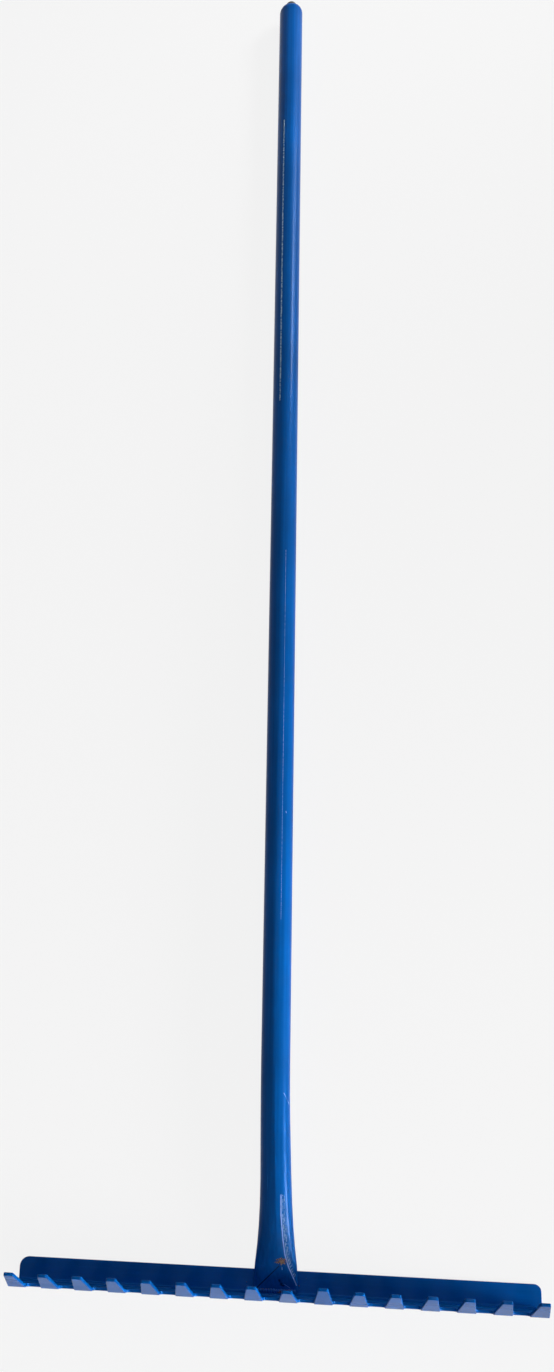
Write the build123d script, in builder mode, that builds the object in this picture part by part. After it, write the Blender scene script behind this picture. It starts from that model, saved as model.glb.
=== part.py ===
"""Steel garden rake: a pressed and folded sheet head welded to a long tubular handle.

Row frame in millimetres, +Z up. The rake lies on the ground with its teeth up: X runs along
the head, +Y runs up the handle and Z = 0 is the ground. The origin is the middle of the
rake's footprint.
"""
from build123d import *
import math
import os

os.makedirs("parts", exist_ok=True)

# Head: one steel sheet with a short flange, a wall and a row of teeth
sheet = 3.0
flange_depth = 22.5
wall_height = 42.0
fold_radius = 1.5
left_corner_radius = 9.0
right_corner_radius = 6.0

# Teeth: tapered, cut from the wall's edge and bent back toward the handle
tooth_count = 16
tooth_pitch = 31.0
tooth_root_width = 16.5
tooth_tip_width = 8.4
tooth_length = 37.5
tooth_lean = 21.0
tooth_bend_radius = 2.0
tooth_tip_radius = 1.5
notch_depth = 7.0
notch_radius = 3.5
knocked_teeth = {9: -3.0, 10: 3.0}

# Handle: round tube, pressed flat where it lies on the flange, spun shut at the far end
handle_length = 1490.9
tube_diameter = 28.0
tube_wall = 1.5
pinch_gap = 1.0
toe_gap = 2.5
closed_toe = 4.0
facet_length = 22.0
facet_offset = 3.2
end_drift = 2.6
end_shoulder_radius = 7.0
end_hole_diameter = 7.0

# Flare of the pressed end: distance from the toe, then shares of how far the tube has spread,
# sunk, had its crown pushed aside and drifted off its axis there. The end spreads more to its
# right, so it drifts before it widens.
flare_stations = (
    (facet_length, 0.80, 0.58, 1.0, 1.0),
    (38.0, 0.53, 0.36, 0.6, 1.0),
    (58.0, 0.29, 0.18, 0.3, 0.95),
    (85.0, 0.12, 0.07, 0.1, 0.8),
    (128.0, 0.035, 0.022, 0.02, 0.42),
)
flare_length = 200.0
round_run = 8.0
crease_width = 0.1

# Plug in the mouth of the spun end
plug_clearance = 0.05
plug_head_diameter = 12.6
plug_head_height = 7.3
plug_head_chamfer = 2.0
plug_stem_length = 6.0

# Weld beads
toe_bead_radius = 3.6
toe_bead_margin = 1.0
toe_bead_bite = 2.0
heel_bead_radius = 2.6
heel_bead_length = 15.6
heel_bead_lift = 0.2

# Sizes that follow from the ones above
head_length = (tooth_count - 1) * tooth_pitch + tooth_root_width
tube_radius = tube_diameter / 2
bore_radius = tube_radius - tube_wall
flat_height = 2 * tube_wall + pinch_gap
toe_flat = math.pi * (tube_diameter - flat_height) / 2
flat_width = toe_flat + flat_height
overall_length = sheet + toe_gap + handle_length + plug_head_height
wall_outer_y = -overall_length / 2
wall_inner_y = wall_outer_y + sheet
flange_edge_y = wall_outer_y + flange_depth
toe_y = wall_inner_y + toe_gap
end_seat_y = toe_y + handle_length
shoulder_centre_x = tube_radius - end_shoulder_radius
shoulder_y = end_seat_y - end_shoulder_radius
notch_floor_z = wall_height - notch_depth
axis_z = sheet + tube_radius
tube_axis = Axis((0, 0, axis_z), (0, 1, 0))


def corner_at(profile, across, up):
    """The corner of a flat profile nearest to a place given in the profile's own plane."""
    return profile.vertices().sort_by_distance((across, up, 0))[0]


def tooth_blank(lean):
    """One tooth standing on the notch floor: its side profile crossed with its tapered front."""
    rise = tooth_length * math.cos(math.radians(lean))
    reach = tooth_length * math.sin(math.radians(lean))
    face_y = sheet * math.cos(math.radians(lean))
    face_z = sheet * math.sin(math.radians(lean))
    inner_bend_z = wall_height - sheet * math.tan(math.radians(lean / 2))
    with BuildPart() as tooth:
        with BuildSketch(Plane.YZ) as side_profile:
            with BuildLine():
                Polyline(
                    (wall_outer_y, notch_floor_z),
                    (wall_outer_y, wall_height),
                    (wall_outer_y + reach, wall_height + rise),
                    (wall_outer_y + reach + face_y, wall_height + rise - face_z),
                    (wall_inner_y, inner_bend_z),
                    (wall_inner_y, notch_floor_z),
                    close=True,
                )
            make_face()
            fillet(corner_at(side_profile, wall_outer_y, wall_height), tooth_bend_radius + sheet)
            fillet(corner_at(side_profile, wall_inner_y, inner_bend_z), tooth_bend_radius)
        extrude(amount=tooth_root_width / 2, both=True)
        with BuildSketch(Plane.XZ.offset(-wall_outer_y)):
            with BuildLine():
                Polyline(
                    (-tooth_root_width / 2, notch_floor_z),
                    (-tooth_root_width / 2, wall_height),
                    (-tooth_tip_width / 2, wall_height + rise),
                    (tooth_tip_width / 2, wall_height + rise),
                    (tooth_root_width / 2, wall_height),
                    (tooth_root_width / 2, notch_floor_z),
                    close=True,
                )
            make_face()
        extrude(amount=reach + 2 * sheet, both=True, mode=Mode.INTERSECT)
        tip_face = tooth.faces().filter_by(GeomType.PLANE).sort_by(Axis.Z)[-1]
        tip_corners = tip_face.edges().sort_by(Axis.X)
        fillet([tip_corners[0], tip_corners[-1]], tooth_tip_radius)
    return tooth.part


# Head: flange and wall folded from one strip, then the teeth along the wall's edge
with BuildPart() as rake_head:
    with BuildSketch(Plane.YZ) as strip_profile:
        with BuildLine():
            Polyline(
                (flange_edge_y, 0),
                (wall_outer_y, 0),
                (wall_outer_y, notch_floor_z),
                (wall_inner_y, notch_floor_z),
                (wall_inner_y, sheet),
                (flange_edge_y, sheet),
                close=True,
            )
        make_face()
        fillet(corner_at(strip_profile, wall_outer_y, 0), fold_radius + sheet)
        fillet(corner_at(strip_profile, wall_inner_y, sheet), fold_radius)
    extrude(amount=head_length / 2, both=True)
    for number in range(1, tooth_count + 1):
        lean = tooth_lean + knocked_teeth.get(number, 0)
        with Locations(((number - (tooth_count + 1) / 2) * tooth_pitch, 0, 0)):
            add(tooth_blank(lean))
    floor_edges = (
        rake_head.edges()
        .filter_by(lambda edge: abs(edge.length - sheet) < 0.01)
        .filter_by_position(Axis.Z, notch_floor_z - 0.01, notch_floor_z + 0.01)
    )
    inside = head_length / 2 - 0.1
    fillet(floor_edges.filter_by_position(Axis.X, -inside, inside), notch_radius)
    flange_corners = rake_head.edges().filter_by(Axis.Z).group_by(Axis.Y)[-1].sort_by(Axis.X)
    fillet(flange_corners[0], left_corner_radius)
    fillet(flange_corners[-1], right_corner_radius)
rake_head.part.label = "rake_head"
export_step(rake_head.part, "parts/rake_head.step")


def section_at(plane_y, flat, width, height, seat_z, drift, push):
    """Oval section of the pressed end, with its crown pushed aside and a flat there, if any."""
    middle = seat_z + height / 2
    crown = drift + push
    left = width / 2 + push - flat / 2
    right = width / 2 - push - flat / 2
    with BuildSketch(Plane.XZ.offset(-plane_y)) as section:
        with BuildLine():
            for centre_x, side, first in ((crown + flat / 2, right, -90), (crown - flat / 2, left, 90)):
                for quarter in (first, first + 90):
                    EllipticalCenterArc(
                        (centre_x, middle), side, height / 2, start_angle=quarter, arc_size=90
                    )
            if flat:
                for z in (seat_z, seat_z + height):
                    Line((crown - flat / 2, z), (crown + flat / 2, z))
        make_face()
    return section.sketch


def pressed_end(inset, closed_at):
    """The pressed end as a solid, taken in by the inset all round and shut near the toe."""
    seat_z = sheet + inset
    loss = 2 * inset
    facet_y = toe_y + facet_length
    sizes = [
        (
            toe_y + station,
            tube_diameter + spread * (flat_width - tube_diameter) - loss,
            tube_diameter - sink * (tube_diameter - flat_height) - loss,
            drifted * end_drift,
            aside * facet_offset,
        )
        for station, spread, sink, aside, drifted in flare_stations
    ]
    round_size = tube_diameter - loss
    facet_section = sizes[0][1:3]
    toe_section = (flat_width - loss, flat_height - loss)
    with BuildPart() as end:
        for place, width, height, drift, push in sizes:
            add(section_at(place, 0, width, height, seat_z, drift, push))
        for station in (flare_length - round_run, flare_length):
            add(section_at(toe_y + station, 0, round_size, round_size, seat_z, 0, 0))
        loft()
        add(section_at(toe_y + closed_at, toe_flat, *toe_section, seat_z, end_drift, 0))
        add(section_at(facet_y, crease_width, *facet_section, seat_z, end_drift, facet_offset))
        loft(ruled=True)
    return end.part


# Handle: round tube spun shut, joined to the pressed end and bored to the tube's wall
with BuildPart() as handle_tube:
    with BuildSketch(Plane.XY.offset(axis_z)):
        with BuildLine():
            Line((0, toe_y + flare_length), (tube_radius, toe_y + flare_length))
            Line((tube_radius, toe_y + flare_length), (tube_radius, shoulder_y))
            CenterArc((shoulder_centre_x, shoulder_y), end_shoulder_radius, 0, 90)
            Line((shoulder_centre_x, end_seat_y), (0, end_seat_y))
            Line((0, end_seat_y), (0, toe_y + flare_length))
        make_face()
    revolve(axis=tube_axis)
    add(pressed_end(0, 0))
    with BuildSketch(Plane.XY.offset(axis_z)):
        with BuildLine():
            Line((0, toe_y + flare_length), (bore_radius, toe_y + flare_length))
            Line((bore_radius, toe_y + flare_length), (bore_radius, shoulder_y))
            CenterArc((shoulder_centre_x, shoulder_y), end_shoulder_radius - tube_wall, 0, 90)
            Line((shoulder_centre_x, end_seat_y - tube_wall), (0, end_seat_y - tube_wall))
            Line((0, end_seat_y - tube_wall), (0, toe_y + flare_length))
        make_face()
    revolve(axis=tube_axis, mode=Mode.SUBTRACT)
    add(pressed_end(tube_wall, closed_toe), mode=Mode.SUBTRACT)
    with BuildSketch(Plane.XZ.offset(-end_seat_y)):
        with Locations((0, axis_z)):
            Circle(end_hole_diameter / 2)
    extrude(amount=2 * tube_wall, mode=Mode.SUBTRACT)
handle_tube.part.label = "handle_tube"
export_step(handle_tube.part, "parts/handle_tube.step")


# Plug: round head on the spun end's flat, stem through its mouth
with BuildPart() as end_plug:
    stem_radius = end_hole_diameter / 2 - plug_clearance
    with BuildSketch(Plane.XY.offset(axis_z)) as plug_profile:
        with BuildLine():
            Polyline(
                (0, end_seat_y - plug_stem_length),
                (stem_radius, end_seat_y - plug_stem_length),
                (stem_radius, end_seat_y),
                (plug_head_diameter / 2, end_seat_y),
                (plug_head_diameter / 2, end_seat_y + plug_head_height),
                (0, end_seat_y + plug_head_height),
                close=True,
            )
        make_face()
        chamfer(
            corner_at(plug_profile, plug_head_diameter / 2, end_seat_y + plug_head_height),
            plug_head_chamfer,
        )
    revolve(axis=tube_axis)
end_plug.part.label = "end_plug"
export_step(end_plug.part, "parts/end_plug.step")


def bead(length, radius, y, z):
    """A round-ended weld bead along the pressed end, cut back to the steel that it joins."""
    with BuildPart() as weld:
        with Locations((end_drift, y, z)):
            Cylinder(radius, length, rotation=(0, 90, 0))
            with GridLocations(length, 1, 2, 1):
                Sphere(radius)
        add(rake_head.part, mode=Mode.SUBTRACT)
        add(pressed_end(0, 0), mode=Mode.SUBTRACT)
    return weld.part


# Weld across the toe, in the fold
toe_bead_offset = toe_bead_radius - toe_bead_bite
toe_weld = bead(
    toe_flat - 2 * (toe_bead_margin + toe_bead_radius),
    toe_bead_radius,
    wall_inner_y + toe_bead_offset,
    sheet + toe_bead_offset,
)
toe_weld.label = "toe_weld"
export_step(toe_weld, "parts/toe_weld.step")

# Weld at the heel, between the flange's free edge and the underside of the tube
heel_weld = bead(heel_bead_length, heel_bead_radius, flange_edge_y, heel_bead_radius + heel_bead_lift)
heel_weld.label = "heel_weld"
export_step(heel_weld, "parts/heel_weld.step")
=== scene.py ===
# %% [markdown]
# # A painted steel garden rake
# The rake is one welded piece: a folded sheet head with sixteen teeth and a long round
# handle. Its shape is already built to size and is loaded as a fixed frame. This lesson
# gives it what a shape alone lacks: paint, worn spots, weld ripples, light and a camera.

# %% Load the frame
import bpy
import bmesh
import math
from mathutils import Matrix, Vector


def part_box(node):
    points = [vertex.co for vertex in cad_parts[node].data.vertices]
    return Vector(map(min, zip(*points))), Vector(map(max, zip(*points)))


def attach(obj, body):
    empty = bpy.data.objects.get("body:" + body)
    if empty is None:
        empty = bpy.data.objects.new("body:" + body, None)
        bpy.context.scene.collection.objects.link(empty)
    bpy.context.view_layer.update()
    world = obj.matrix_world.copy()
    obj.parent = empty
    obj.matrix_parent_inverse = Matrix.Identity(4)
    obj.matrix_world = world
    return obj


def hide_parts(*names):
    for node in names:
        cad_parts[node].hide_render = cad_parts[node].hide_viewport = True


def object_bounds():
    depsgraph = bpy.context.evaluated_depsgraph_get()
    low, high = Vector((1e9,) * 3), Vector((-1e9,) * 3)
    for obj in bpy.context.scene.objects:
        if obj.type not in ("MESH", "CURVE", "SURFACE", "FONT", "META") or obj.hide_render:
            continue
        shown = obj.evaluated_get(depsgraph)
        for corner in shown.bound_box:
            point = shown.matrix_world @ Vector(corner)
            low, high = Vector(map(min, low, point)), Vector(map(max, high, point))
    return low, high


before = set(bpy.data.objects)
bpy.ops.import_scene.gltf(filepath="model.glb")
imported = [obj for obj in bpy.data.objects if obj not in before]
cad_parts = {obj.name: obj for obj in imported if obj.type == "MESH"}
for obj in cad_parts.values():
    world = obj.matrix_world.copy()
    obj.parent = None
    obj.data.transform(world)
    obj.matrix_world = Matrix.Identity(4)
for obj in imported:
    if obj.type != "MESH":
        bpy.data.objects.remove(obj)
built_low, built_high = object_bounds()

print("nodes:", sorted(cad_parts))
print("size in metres:", [round(v, 4) for v in built_high - built_low])

# %% [markdown]
# ## The camera
# The rake lies on the ground and is looked down on from above its head. A camera can be
# placed by hand and turned until it looks right, or it can be worked out from a few known
# lengths on the object. The second way is used here, because a long handle seen from above
# tapers strongly, and a small error in place shows at its far end. The lens shift keeps
# the rake inside a narrow upright picture.

# %% Camera
wall_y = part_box("rake_head")[0].y
camera_place = Vector((0.05664, wall_y + 0.15188, 1.19211))
to_the_right = Vector((0.99123312, 0.03788504, -0.12657657))
upwards = Vector((-0.00144078, 0.96105166, 0.27636502))
camera_data = bpy.data.cameras.new("camera")
camera_data.sensor_fit = "AUTO"
camera_data.sensor_width = 36.0
camera_data.lens = 31.2734
camera_data.shift_x = 0.07305
camera_data.shift_y = 0.06944
camera_data.clip_start = 0.01
camera = bpy.data.objects.new("camera", camera_data)
backwards = to_the_right.cross(upwards).normalized()
upwards = backwards.cross(to_the_right).normalized()
turn = Matrix((to_the_right.normalized(), upwards, backwards)).transposed()
camera.matrix_world = Matrix.Translation(camera_place) @ turn.to_4x4()
bpy.context.scene.collection.objects.link(camera)
bpy.context.scene.camera = camera
print("camera stands", round(camera_place.z, 3), "m above the ground")

# %% [markdown]
# ## Floor
# A plain pale floor carries the shadow and shows the outline clearly. One large grid is
# enough, because nothing on it needs detail.

# %% Floor
def plain_object(name, mesh):
    piece = bpy.data.objects.new(name, mesh)
    bpy.context.scene.collection.objects.link(piece)
    return piece


floor_reach = 12.0
floor_gap = 0.0002
floor_height = built_low.z - floor_gap
floor_shape = bmesh.new()
bmesh.ops.create_grid(floor_shape, x_segments=1, y_segments=1, size=floor_reach)
bmesh.ops.translate(floor_shape, verts=floor_shape.verts, vec=(0, 0, floor_height))
floor_mesh = bpy.data.meshes.new("floor")
floor_shape.to_mesh(floor_mesh)
floor_shape.free()
floor = plain_object("floor", floor_mesh)
print("floor at", round(floor_height, 4))

# %% [markdown]
# ## Floor finish
# A white studio floor shows a soft shadow, but a side lamp leaves its far corners grey. The
# floor is therefore part paper and part light table: rays that come straight from the
# camera, or by way of a reflection, see it lifted towards white, and the shadow stays.


# %% Rays that see white
def seen_rays(tree):
    ray_kind = tree.nodes.new("ShaderNodeLightPath")
    seen = ray_kind.outputs["Is Camera Ray"]
    for other_kind in ("Is Glossy Ray", "Is Transmission Ray"):
        either = tree.nodes.new("ShaderNodeMath")
        either.operation = "MAXIMUM"
        tree.links.new(seen, either.inputs[0])
        tree.links.new(ray_kind.outputs[other_kind], either.inputs[1])
        seen = either.outputs[0]
    return seen


print("ray test ready")

# %% Floor finish
floor_grey = (0.62, 0.62, 0.62, 1)
floor_lift = 0.86
floor_finish = bpy.data.materials.new("pale_floor")
floor_finish.use_nodes = True
floor_tree = floor_finish.node_tree
floor_shader = floor_tree.nodes["Principled BSDF"]
floor_shader.inputs["Base Color"].default_value = floor_grey
floor_shader.inputs["Roughness"].default_value = 0.9
floor_shader.inputs["Specular IOR Level"].default_value = 0.0
light_table = floor_tree.nodes.new("ShaderNodeEmission")
light_table.inputs["Color"].default_value = (1, 1, 1, 1)
light_table.inputs["Strength"].default_value = 1.0
lift = floor_tree.nodes.new("ShaderNodeMath")
lift.operation = "MULTIPLY"
lift.inputs[1].default_value = floor_lift
floor_mix = floor_tree.nodes.new("ShaderNodeMixShader")
floor_tree.links.new(seen_rays(floor_tree), lift.inputs[0])
floor_tree.links.new(lift.outputs[0], floor_mix.inputs[0])
floor_tree.links.new(floor_shader.outputs[0], floor_mix.inputs[1])
floor_tree.links.new(light_table.outputs[0], floor_mix.inputs[2])
floor_output = floor_tree.nodes["Material Output"]
floor_tree.links.new(floor_mix.outputs[0], floor_output.inputs["Surface"])
floor.data.materials.append(floor_finish)
print("floor is nearly white")

# %% [markdown]
# ## Light
# Gloss shows only when there is something to reflect. A low lamp on the right rakes along
# the head: it lights every right flank and leaves the sheet that faces up in shade. Its
# beam is narrow, to keep it off most of the handle. A small lamp lights the handle's far
# half, a large dim panel gives the tube a bright right half, and a lamp in front lights the
# outer faces of the head. A far lamp draws a streak on the upper handle, and a thin strip
# lamp draws one fine line. The sky is a plain dim dome that fills the shade, and the camera
# and the gloss of the paint see it white.

# %% Sky
sky_colour = (0.93, 0.96, 1.0, 1)
sky_fill = 0.07
sky_white = 0.9
sky = bpy.data.worlds.new("sky")
sky.use_nodes = True
sky_tree = sky.node_tree
dome = sky_tree.nodes["Background"]
dome.inputs["Color"].default_value = sky_colour
sky_strength = sky_tree.nodes.new("ShaderNodeMapRange")
sky_strength.inputs["To Min"].default_value = sky_fill
sky_strength.inputs["To Max"].default_value = sky_white
sky_tree.links.new(seen_rays(sky_tree), sky_strength.inputs["Value"])
sky_tree.links.new(sky_strength.outputs["Result"], dome.inputs["Strength"])
bpy.context.scene.world = sky
print("sky is plain")


# %% Lamps
def soft_lamp(name, place, aim, width, height, watts, spread_degrees=180):
    lamp_data = bpy.data.lights.new(name, "AREA")
    lamp_data.shape = "RECTANGLE"
    lamp_data.size = width
    lamp_data.size_y = height
    lamp_data.energy = watts
    lamp_data.spread = math.radians(spread_degrees)
    lamp = bpy.data.objects.new(name, lamp_data)
    lamp.location = place
    lamp.rotation_mode = "QUATERNION"
    lamp.rotation_quaternion = (Vector(aim) - Vector(place)).to_track_quat("-Z", "Y")
    bpy.context.scene.collection.objects.link(lamp)
    print(name, "shines with", watts, "W")


soft_lamp(
    "low_lamp", place=(3.0, -1.35, 0.75), aim=(0.0, -0.74, 0.02),
    width=1.4, height=0.9, watts=6.4, spread_degrees=30,
)
soft_lamp(
    "end_lamp", place=(1.5, 1.7, 1.0), aim=(0.0, 0.8, 0.0),
    width=0.5, height=0.5, watts=2.2, spread_degrees=40,
)
soft_lamp(
    "side_panel", place=(2.4, 1.2, 1.3), aim=(0.0, 1.2, 0.0),
    width=6.4, height=1.9, watts=4.5,
)
soft_lamp(
    "front_lamp", place=(0.5, -2.3, 2.0), aim=(0.0, -0.6, 0.0),
    width=1.6, height=1.0, watts=14,
)
soft_lamp(
    "streak_lamp", place=(3.0, 2.95, 0.7), aim=(0.0, 0.4, 0.0),
    width=0.8, height=0.3, watts=16,
)
soft_lamp(
    "strip_lamp", place=(0.62, 1.2, 2.3), aim=(0.0, 0.25, 0.0),
    width=0.05, height=3.6, watts=7,
)

# %% [markdown]
# ## Paint
# The whole rake was sprayed with one glossy blue enamel. A single flat colour would look
# like plastic, so the paint is built from layers: a cloudy change of tone, fine lengthwise
# lines left by drawing the tube, a light skin of dust, and hairline scratches. Each layer
# is a procedural pattern on Object coordinates, so it stays on the steel.


# %% Pattern helpers
even_grain = (1.0, 1.0, 1.0)


def add_node(tree, kind, **settings):
    node = tree.nodes.new(kind)
    for name, value in settings.items():
        if name in node.inputs:
            node.inputs[name].default_value = value
        else:
            setattr(node, name, value)
    return node


def on_steel(tree):
    return add_node(tree, "ShaderNodeTexCoord").outputs["Object"]


def noise(tree, scale, size, detail, distortion=0.0):
    mapping = add_node(tree, "ShaderNodeMapping")
    mapping.inputs["Scale"].default_value = scale
    tree.links.new(on_steel(tree), mapping.inputs["Vector"])
    pattern = add_node(
        tree, "ShaderNodeTexNoise", Scale=size, Detail=detail, Distortion=distortion
    )
    tree.links.new(mapping.outputs["Vector"], pattern.inputs["Vector"])
    return pattern.outputs["Fac"]


def levels(tree, value, low, high, out_low=0.0, out_high=1.0):
    remap = add_node(tree, "ShaderNodeMapRange")
    remap.inputs["From Min"].default_value = low
    remap.inputs["From Max"].default_value = high
    remap.inputs["To Min"].default_value = out_low
    remap.inputs["To Max"].default_value = out_high
    tree.links.new(value, remap.inputs["Value"])
    return remap.outputs["Result"]


def reckon(tree, operation, first, second):
    sum_node = add_node(tree, "ShaderNodeMath", operation=operation)
    for socket, value in zip(sum_node.inputs, (first, second)):
        if isinstance(value, float):
            socket.default_value = value
        else:
            tree.links.new(value, socket)
    return sum_node.outputs[0]


def lay_over(tree, mask, under, over):
    mix = add_node(tree, "ShaderNodeMix", data_type="RGBA")
    tree.links.new(mask, mix.inputs[0])
    for socket, colour in ((mix.inputs[6], under), (mix.inputs[7], over)):
        if isinstance(colour, tuple):
            socket.default_value = colour
        else:
            tree.links.new(colour, socket)
    return mix.outputs[2]


print("pattern helpers ready")

# %% [markdown]
# ## Marks at a known place
# Some marks sit where they are for a reason: paint knocked off beside the weld, a dark line
# of painted shade where the flattened tube folds, a scratch from one knock. A noise pattern
# can't be told where to go. A distance can: the distance to a point makes a round spot and
# the distance to a short line makes a stroke, and a little noise makes their edges ragged.
# A stroke on the curved tube counts only a small share of the height, so that it follows
# the steel. On the upright wall it counts the whole height, or the line would smear into a
# tall bar.


# %% Spots and strokes
low_share = 0.15


def from_place(tree, place):
    offset = add_node(tree, "ShaderNodeVectorMath", operation="SUBTRACT")
    offset.inputs[1].default_value = place
    tree.links.new(on_steel(tree), offset.inputs[0])
    return offset.outputs[0]


def spot(tree, centre, reach, ragged):
    share = add_node(tree, "ShaderNodeVectorMath", operation="DIVIDE")
    share.inputs[1].default_value = reach
    tree.links.new(from_place(tree, centre), share.inputs[0])
    distance = add_node(tree, "ShaderNodeVectorMath", operation="LENGTH")
    tree.links.new(share.outputs[0], distance.inputs[0])
    wander = levels(tree, noise(tree, even_grain, 700.0, 4.0), 0.3, 0.7, -ragged, ragged)
    return levels(tree, reckon(tree, "ADD", distance.outputs["Value"], wander), 1.0, 0.85)


def stroke(tree, start, end, width, fade, height_share=low_share):
    flattened = Vector((1.0, 1.0, height_share))
    run = (Vector(end) - Vector(start)) * flattened
    flat_offset = add_node(tree, "ShaderNodeVectorMath", operation="MULTIPLY")
    flat_offset.inputs[1].default_value = flattened
    tree.links.new(from_place(tree, start), flat_offset.inputs[0])
    offset = flat_offset.outputs[0]
    along = add_node(tree, "ShaderNodeVectorMath", operation="DOT_PRODUCT")
    along.inputs[1].default_value = run / run.length_squared
    tree.links.new(offset, along.inputs[0])
    held = add_node(tree, "ShaderNodeClamp")
    tree.links.new(along.outputs["Value"], held.inputs["Value"])
    beside = add_node(tree, "ShaderNodeVectorMath", operation="MULTIPLY_ADD")
    beside.inputs[1].default_value = -run
    tree.links.new(held.outputs[0], beside.inputs[0])
    tree.links.new(offset, beside.inputs[2])
    distance = add_node(tree, "ShaderNodeVectorMath", operation="LENGTH")
    tree.links.new(beside.outputs[0], distance.inputs[0])
    line = levels(tree, distance.outputs["Value"], width, width * 0.4)
    broken = levels(tree, noise(tree, even_grain, 500.0, 3.0), 0.35, 0.6, 1.0 - fade, 1.0)
    return reckon(tree, "MULTIPLY", line, broken)


def any_of(tree, masks):
    joined = masks[0]
    for mask in masks[1:]:
        joined = reckon(tree, "MAXIMUM", joined, mask)
    return joined


print("spots and strokes ready")

# %% [markdown]
# ## Blue enamel
# One function paints the handle and the head, because they came out of the same spray
# booth. The fine lines run lengthwise on the tube. On the sheet they follow its rolling
# direction and are much weaker. A thin clear coat over a slightly rougher paint gives the
# sharp glint and the soft glow that enamel has together.

# %% Enamel colours
deep_blue = (0.0, 0.095, 0.38, 1)
clear_blue = (0.0, 0.13, 0.52, 1)
dust_colour = (0.06, 0.16, 0.36, 1)
line_blue = (0.0, 0.06, 0.26, 1)
worn_blue = (0.03, 0.26, 0.80, 1)
# shade_blue is painted shade; pale_blue and glint_white are painted highlights, and pale_blue
# also draws one scratch.
shade_blue = (0.0, 0.008, 0.035, 1)
pale_blue = (0.36, 0.52, 0.95, 1)
glint_white = (0.60, 0.84, 1.0, 1)
rust_brown = (0.15, 0.070, 0.040, 1)
bare_tan = (0.62, 0.50, 0.42, 1)
print("paint runs from", deep_blue[:3], "to", clear_blue[:3])


# %% Enamel layers
def enamel_colour(tree, line_scale, lines):
    cloud = levels(tree, noise(tree, even_grain, 9.0, 4.0), 0.35, 0.68)
    colour = lay_over(tree, cloud, deep_blue, clear_blue)
    dust = levels(tree, noise(tree, even_grain, 60.0, 8.0), 0.58, 0.85, 0.0, 0.12)
    colour = lay_over(tree, dust, colour, dust_colour)
    drawn = levels(tree, noise(tree, line_scale, 420.0, 2.0), 0.35, 0.65, 0.0, lines)
    colour = lay_over(tree, drawn, colour, line_blue)
    hairline = levels(tree, noise(tree, line_scale, 260.0, 3.0, 0.3), 0.66, 0.72, 0.0, lines)
    return lay_over(tree, hairline, colour, worn_blue)


def enamel_relief(tree, line_scale, strength):
    lines = add_node(tree, "ShaderNodeBump", Strength=strength, Distance=0.0004)
    tree.links.new(noise(tree, line_scale, 300.0, 4.0), lines.inputs["Height"])
    peel = add_node(tree, "ShaderNodeBump", Strength=0.10, Distance=0.0003)
    tree.links.new(noise(tree, even_grain, 380.0, 2.0), peel.inputs["Height"])
    tree.links.new(lines.outputs["Normal"], peel.inputs["Normal"])
    return peel.outputs["Normal"]


def blue_enamel(
    name, line_scale, relief, lines, shade_marks=(), highlight_and_scratch_marks=(), glints=(), chips=(),
):
    finish = bpy.data.materials.new(name)
    finish.use_nodes = True
    tree = finish.node_tree
    paint = tree.nodes["Principled BSDF"]
    colour = enamel_colour(tree, line_scale, lines)
    normal = enamel_relief(tree, line_scale, relief)
    gloss = levels(tree, noise(tree, line_scale, 40.0, 4.0), 0.3, 0.7, 0.22, 0.36)
    # Painted shade: these marks darken the enamel towards shade_blue where shade falls.
    if shade_marks:
        dark = any_of(tree, [stroke(tree, *mark) for mark in shade_marks])
        colour = lay_over(tree, dark, colour, shade_blue)
    # Painted highlights in pale_blue, with one real scratch among them on the handle.
    if highlight_and_scratch_marks:
        pale = any_of(tree, [stroke(tree, *mark) for mark in highlight_and_scratch_marks])
        colour = lay_over(tree, pale, colour, pale_blue)
    # Painted highlights in glint_white.
    if glints:
        bright = any_of(tree, [stroke(tree, *mark) for mark in glints])
        colour = lay_over(tree, bright, colour, glint_white)
    if chips:
        bare = any_of(tree, [spot(tree, *chip) for chip in chips])
        grain = levels(tree, noise(tree, even_grain, 1500.0, 5.0), 0.48, 0.66)
        colour = lay_over(tree, bare, colour, lay_over(tree, grain, rust_brown, bare_tan))
        gloss = reckon(tree, "MAXIMUM", gloss, levels(tree, bare, 0.0, 1.0, 0.0, 0.8))
        step = add_node(tree, "ShaderNodeBump", Strength=0.7, Distance=0.0003, invert=True)
        tree.links.new(bare, step.inputs["Height"])
        tree.links.new(normal, step.inputs["Normal"])
        normal = step.outputs["Normal"]
    tree.links.new(colour, paint.inputs["Base Color"])
    tree.links.new(gloss, paint.inputs["Roughness"])
    tree.links.new(normal, paint.inputs["Normal"])
    paint.inputs["Metallic"].default_value = 0.04
    paint.inputs["Specular IOR Level"].default_value = 0.07
    paint.inputs["Specular Tint"].default_value = (0.3, 0.65, 1.0, 1)
    paint.inputs["Coat Weight"].default_value = 0.05
    paint.inputs["Coat Roughness"].default_value = 0.09
    print(name, "has", len(tree.nodes), "shader nodes")
    return finish


# %% [markdown]
# ## Marks on this rake
# The tube is pressed flat at the head, and the flat starts at a pointed fold. That fold gets
# a dark line of painted shade on one side and a bright line of painted highlight on the
# other, with thin painted highlight streaks beside it, and the notch at the toe weld is
# painted dark as shade. Just above its point the paint is chipped to rusty steel. A thin
# painted highlight runs along the wall of the head, above its fold, and the pale flecks by
# the weld are partly spatter and partly painted highlight. Each stroke is a start, an end,
# a width and how much of it breaks up. Places are given from the back of the head, so that
# they stay with the joint when the handle's length changes.


# %% Dark fold and notch, painted shade
def spot_at(x, from_back, z):
    return Vector((x, wall_y + from_back, z))


fold_point = spot_at(0.0058, 0.0275, 0.0167)
left_toe = spot_at(-0.0162, 0.0055, 0.0070)
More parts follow.
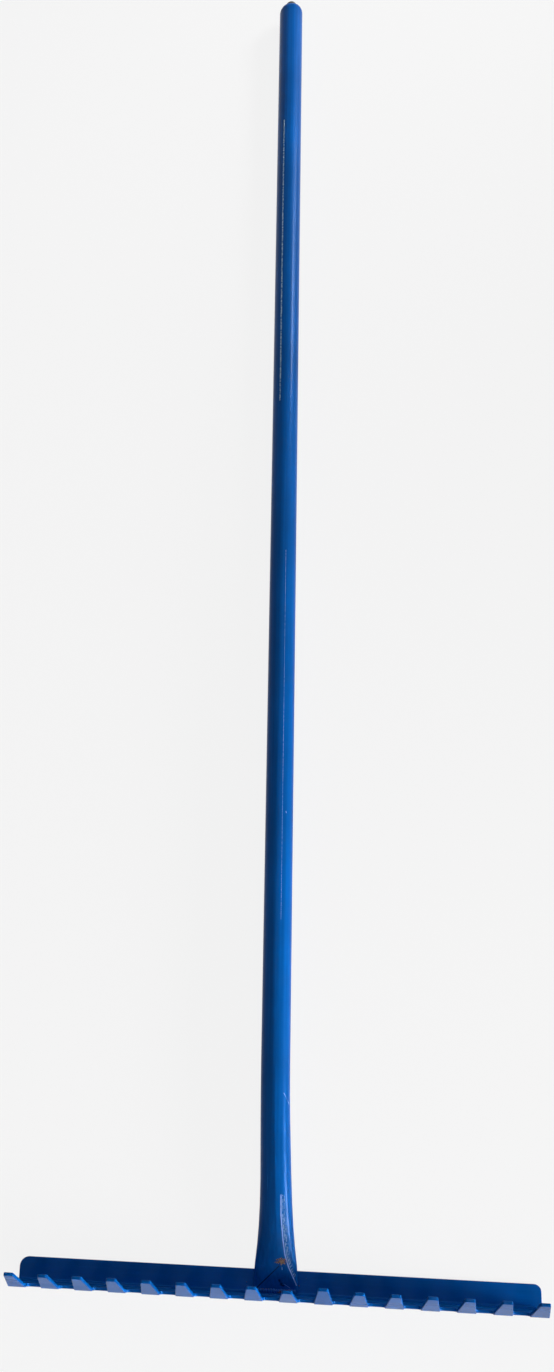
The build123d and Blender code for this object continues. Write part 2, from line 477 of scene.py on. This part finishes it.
# Painted shade: a dark line along the fold of the pressed end and a dark notch at the toe weld.
handle_painted_shade = [
    (fold_point, left_toe, 0.0006, 0.2),
    (spot_at(0.0060, 0.0150, 0.0114), spot_at(0.0080, 0.0116, 0.0100), 0.0014, 0.7),
    (spot_at(0.0070, 0.0106, 0.0096), spot_at(0.0100, 0.0100, 0.0094), 0.0010, 0.7),
]
print("fold point at", [round(v, 4) for v in fold_point])

# %% Painted highlight ridge, highlight lines and a scratch
# Painted highlight: the pale ridge where light catches the edge of the pressed end.
ridge_highlight = [
    spot_at(0.0073, 0.0898, 0.0283), spot_at(0.0075, 0.0723, 0.0271),
    spot_at(0.0095, 0.0506, 0.0234), spot_at(0.0113, 0.0375, 0.0198),
    spot_at(0.0145, 0.0270, 0.0158), spot_at(0.0185, 0.0182, 0.0118),
    spot_at(0.0216, 0.0110, 0.0085),
]
ridge_highlight_width = 0.0007
handle_highlights_and_scratch = [(start, end, ridge_highlight_width, 0.3) for start, end in zip(ridge_highlight, ridge_highlight[1:])]
# Mostly painted highlights; the third stroke is a scratch.
handle_highlights_and_scratch += [
    (spot_at(0.0086, 0.0262, 0.0164), spot_at(0.0087, 0.0244, 0.0155), 0.0005, 0.2),
    (spot_at(0.0103, 0.0116, 0.0098), spot_at(0.0158, 0.0083, 0.0083), 0.0003, 0.4),
    (spot_at(0.0088, 0.1809, 0.0280), spot_at(0.0137, 0.1708, 0.0207), 0.00025, 0.5),
    (spot_at(0.0072, 0.4550, 0.0290), spot_at(0.0076, 0.4534, 0.0289), 0.0004, 0.1),
    (spot_at(0.0036, 0.7434, 0.0305), spot_at(0.0038, 0.3446, 0.0305), 0.0002, 0.7),
]
print(len(handle_highlights_and_scratch), "pale strokes on the handle")

# %% Bright streaks, painted highlights
# Painted highlights: thin white lines and streaks that stand in for lamp reflections on the
# tube.
streak_width = 0.00028
handle_glints = [
    (spot_at(-0.0058, 1.3138, 0.0297), spot_at(-0.0054, 0.9280, 0.0299), 0.0009, 1.0),
    (spot_at(0.0070, 0.0322, 0.0186), spot_at(0.0088, 0.0344, 0.0192), 0.0004, 0.6),
]
for aside in (0.0016, 0.0029, 0.0042):
    streak = [point + Vector((aside, 0.0, 0.0)) for point in ridge_highlight[:6]]
    handle_glints += [(start, end, streak_width, 1.0) for start, end in zip(streak, streak[1:])]
print(len(handle_glints), "bright strokes on the handle")

# %% Chips and head marks
handle_chips = [
    (spot_at(0.0084, 0.0318, 0.0184), (0.0046, 0.0030, 0.0080), 0.6),
    (spot_at(0.0042, 0.0305, 0.0180), (0.0026, 0.0010, 0.0080), 0.6),
]
wall_face = 0.0031
whole_height = 1.0
# Painted highlight: a thin pale line along the inner fold of the head.
fold_highlight = [(
    spot_at(-0.2140, wall_face, 0.0140), spot_at(-0.0937, wall_face, 0.0135),
    0.0006, 0.7, whole_height,
)]
# Pale flecks by the weld, partly spatter and partly painted highlight, drawn in glint white.
weld_flecks_and_glints = [(
    spot_at(-0.0065, wall_face, 0.0200), spot_at(-0.0030, wall_face, 0.0180),
    0.0004, 0.6, whole_height,
), (
    spot_at(0.0010, wall_face, 0.0160), spot_at(0.0042, wall_face, 0.0165),
    0.0004, 0.6, whole_height,
), (
    spot_at(-0.0010, wall_face, 0.0260), spot_at(0.0005, wall_face, 0.0280),
    0.0003, 0.5, whole_height,
)]
print(len(handle_chips), "chips and", len(weld_flecks_and_glints), "flecks")

# %% Mix the paints
along_tube = (1.0, 0.012, 1.0)
along_head = (0.06, 1.0, 1.0)
handle_paint = blue_enamel(
    "handle_enamel", along_tube, relief=0.4, lines=0.4,
    shade_marks=handle_painted_shade, highlight_and_scratch_marks=handle_highlights_and_scratch, glints=handle_glints, chips=handle_chips,
)
head_paint = blue_enamel(
    "head_enamel", along_head, relief=0.08, lines=0.08,
    highlight_and_scratch_marks=fold_highlight, glints=weld_flecks_and_glints,
)


# %% Dress the steel
def dress(node_name, finish):
    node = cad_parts[node_name]
    node.data.materials.clear()
    node.data.materials.append(finish)
    print(node_name, "wears", finish.name)


dress("handle_tube", handle_paint)
dress("rake_head", head_paint)
dress("heel_weld", head_paint)

# %% [markdown]
# ## Softened edges of the sheet
# A sheet that is cut and then painted has no knife edges: the paint rounds them, and each
# one carries a thin bright line. The head's own mesh stays as it is, so a copy is merged,
# its flat areas are joined into single faces, and a bevel modifier rounds what is left
# sharp. Hardened normals keep the flat faces looking flat.

# %% Round the head's edges
merge_distance = 0.000002
flat_degrees = 0.6
sharp_degrees = 32


def soften(node_name, name, width):
    shape = bmesh.new()
    shape.from_mesh(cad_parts[node_name].data)
    bmesh.ops.remove_doubles(shape, verts=shape.verts, dist=merge_distance)
    bmesh.ops.dissolve_limit(
        shape, angle_limit=math.radians(flat_degrees), verts=shape.verts, edges=shape.edges
    )
    mesh = bpy.data.meshes.new(name)
    shape.to_mesh(mesh)
    shape.free()
    mesh.shade_smooth()
    mesh.set_sharp_from_angle(angle=math.radians(sharp_degrees))
    piece = plain_object(name, mesh)
    rounding = piece.modifiers.new("rounding", "BEVEL")
    rounding.width = width
    rounding.segments = 2
    rounding.limit_method = "ANGLE"
    rounding.angle_limit = math.radians(sharp_degrees)
    rounding.harden_normals = True
    return piece


edge_rounding = 0.0006
head_skin = soften("rake_head", "head_skin", edge_rounding)
head_skin.data.materials.append(head_paint)
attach(head_skin, "root")
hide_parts("rake_head")
print("head skin has", len(head_skin.data.polygons), "faces before rounding")

# %% [markdown]
# ## Weld
# The toe of the handle is welded into the fold of the head. A weld bead is a row of frozen
# puddles, each lapping over the last, so it is built from flattened balls set a small step
# apart and turned a little. Their sizes come from a seeded random source, so the bead looks
# hand-made and is the same each time.

# %% Weld puddles
import random

chance = random.Random(7)
weld_low, weld_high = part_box("toe_weld")
weld_shape = bmesh.new()
puddles = 15
puddle_lean = Matrix.Rotation(math.radians(28), 4, "Y")
puddle_squash = Matrix.Diagonal((0.62, 1.1, 0.95, 1))
for number in range(puddles):
    along = (number + 0.5) / puddles
    radius = 0.0026 + 0.0005 * chance.random()
    ball = bmesh.ops.create_uvsphere(weld_shape, u_segments=20, v_segments=12, radius=radius)
    place = Matrix.Translation((
        weld_low.x + along * (weld_high.x - weld_low.x),
        wall_y + 0.0052 + 0.0004 * chance.random(),
        weld_low.z + 0.0024 + 0.0003 * chance.random(),
    ))
    form = place @ (puddle_lean @ puddle_squash)
    bmesh.ops.transform(weld_shape, matrix=form, verts=ball["verts"])
for face in weld_shape.faces:
    face.smooth = True
weld_mesh = bpy.data.meshes.new("weld_ripples")
weld_shape.to_mesh(weld_mesh)
weld_shape.free()
weld_ripples = plain_object("weld_ripples", weld_mesh)
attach(weld_ripples, "root")
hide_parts("toe_weld")
print(puddles, "puddles in the bead")

# %% [markdown]
# ## Spatter
# Welding throws small drops that freeze on the cold steel nearby, and paint later covers
# most of them. Each drop is a small ball sunk to its middle in the surface it landed on.

# %% Spatter drops
drops = 26
sheet_thickness = 0.0030
spatter_shape = bmesh.new()
for number in range(drops):
    radius = 0.00025 + 0.0005 * chance.random() ** 2
    on_wall = number % 2 == 0
    x = 0.0015 + 0.011 * chance.gauss(0, 0.6)
    if on_wall:
        drop = Vector((x, wall_y + sheet_thickness, 0.013 + 0.022 * chance.random()))
    else:
        x = (0.023 + 0.010 * chance.random()) * chance.choice((-1, 1))
        drop = Vector((x, wall_y + 0.006 + 0.012 * chance.random(), sheet_thickness))
    ball = bmesh.ops.create_icosphere(spatter_shape, subdivisions=2, radius=radius)
    bmesh.ops.translate(spatter_shape, verts=ball["verts"], vec=drop)
for face in spatter_shape.faces:
    face.smooth = True
spatter_mesh = bpy.data.meshes.new("weld_spatter")
spatter_shape.to_mesh(spatter_mesh)
spatter_shape.free()
weld_spatter = plain_object("weld_spatter", spatter_mesh)
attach(weld_spatter, "root")
print(drops, "drops of spatter")

# %% [markdown]
# ## Weld paint
# Paint doesn't wet a hot, rough bead well. It is thinner and duller there, and brown scale
# shows through in patches, so the enamel is reused with many small ragged chips mixed in.

# %% Paint the weld
weld_paint = bpy.data.materials.new("weld_enamel")
weld_paint.use_nodes = True
weld_tree = weld_paint.node_tree
weld_shader = weld_tree.nodes["Principled BSDF"]
along_bead = (0.5, 1.0, 1.0)
scale_noise = noise(weld_tree, even_grain, 260.0, 5.0)
scale_patches = levels(weld_tree, scale_noise, 0.56, 0.62, 0.0, 0.85)
weld_enamel = enamel_colour(weld_tree, along_bead, lines=0.4)
weld_colour = lay_over(weld_tree, scale_patches, weld_enamel, rust_brown)
weld_tree.links.new(weld_colour, weld_shader.inputs["Base Color"])
weld_relief = enamel_relief(weld_tree, even_grain, strength=0.22)
weld_tree.links.new(weld_relief, weld_shader.inputs["Normal"])
weld_shader.inputs["Roughness"].default_value = 0.42
weld_shader.inputs["Specular IOR Level"].default_value = 0.32
weld_ripples.data.materials.append(weld_paint)
weld_spatter.data.materials.append(weld_paint)
print("weld painted")

# %% [markdown]
# ## Plug
# The far end of the handle is spun in and closed by a small dark plastic plug with a
# rounded head. A turned shape like this is drawn as half of its outline and spun round the
# handle's axis. Moulded plastic has a fine even grain and a soft sheen.

# %% Spin the plug
plug_low, plug_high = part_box("end_plug")
axis_z = (plug_low.z + plug_high.z) / 2
plug_radius = (plug_high.z - plug_low.z) / 2
stem_radius = 0.00345
edge_round = 0.0008
plug_head_length = 0.0073
head_start = plug_high.y - plug_head_length
outline = [(0.0, plug_low.y), (stem_radius, plug_low.y), (stem_radius, head_start)]
outline += [(plug_radius, head_start), (plug_radius, plug_high.y - edge_round)]
for degrees in (22.5, 45.0, 67.5):
    turned = math.radians(degrees)
    outline.append((
        plug_radius - edge_round * (1 - math.cos(turned)),
        plug_high.y - edge_round * (1 - math.sin(turned)),
    ))
outline += [(plug_radius - edge_round, plug_high.y), (0.0, plug_high.y)]
turn_steps = 48
seam_gap = 0.00001
crease_degrees = 35
plug_shape = bmesh.new()
corners = [plug_shape.verts.new((x, y, axis_z)) for x, y in outline]
half_outline = [plug_shape.edges.new(pair) for pair in zip(corners, corners[1:])]
bmesh.ops.spin(
    plug_shape, geom=corners + half_outline, cent=(0, 0, axis_z), axis=(0, 1, 0),
    angle=math.tau, steps=turn_steps, use_merge=True,
)
bmesh.ops.remove_doubles(plug_shape, verts=plug_shape.verts, dist=seam_gap)
bmesh.ops.recalc_face_normals(plug_shape, faces=plug_shape.faces)
plug_mesh = bpy.data.meshes.new("plug_cap")
plug_shape.to_mesh(plug_mesh)
plug_shape.free()
plug_mesh.shade_smooth()
plug_mesh.set_sharp_from_angle(angle=math.radians(crease_degrees))
plug_cap = plain_object("plug_cap", plug_mesh)
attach(plug_cap, "root")
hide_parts("end_plug")
print("plug has", len(plug_mesh.polygons), "faces")

# %% Plug plastic
plug_finish = bpy.data.materials.new("plug_plastic")
plug_finish.use_nodes = True
plug_tree = plug_finish.node_tree
plug_shader = plug_tree.nodes["Principled BSDF"]
plug_tone = levels(plug_tree, noise(plug_tree, even_grain, 260.0, 4.0), 0.3, 0.7)
plug_dark = (0.018, 0.017, 0.018, 1)
plug_grey = (0.05, 0.047, 0.05, 1)
plug_colour = lay_over(plug_tree, plug_tone, plug_dark, plug_grey)
plug_tree.links.new(plug_colour, plug_shader.inputs["Base Color"])
plug_grain = add_node(plug_tree, "ShaderNodeBump", Strength=0.2, Distance=0.0002)
plug_tree.links.new(noise(plug_tree, even_grain, 900.0, 3.0), plug_grain.inputs["Height"])
plug_tree.links.new(plug_grain.outputs["Normal"], plug_shader.inputs["Normal"])
plug_shader.inputs["Roughness"].default_value = 0.55
plug_cap.data.materials.append(plug_finish)
print("plug is dark grey")

# %% [markdown]
# ## Picture settings
# The Standard view keeps a colour as it is written.

# %% Finish
bpy.context.scene.view_settings.view_transform = "Standard"
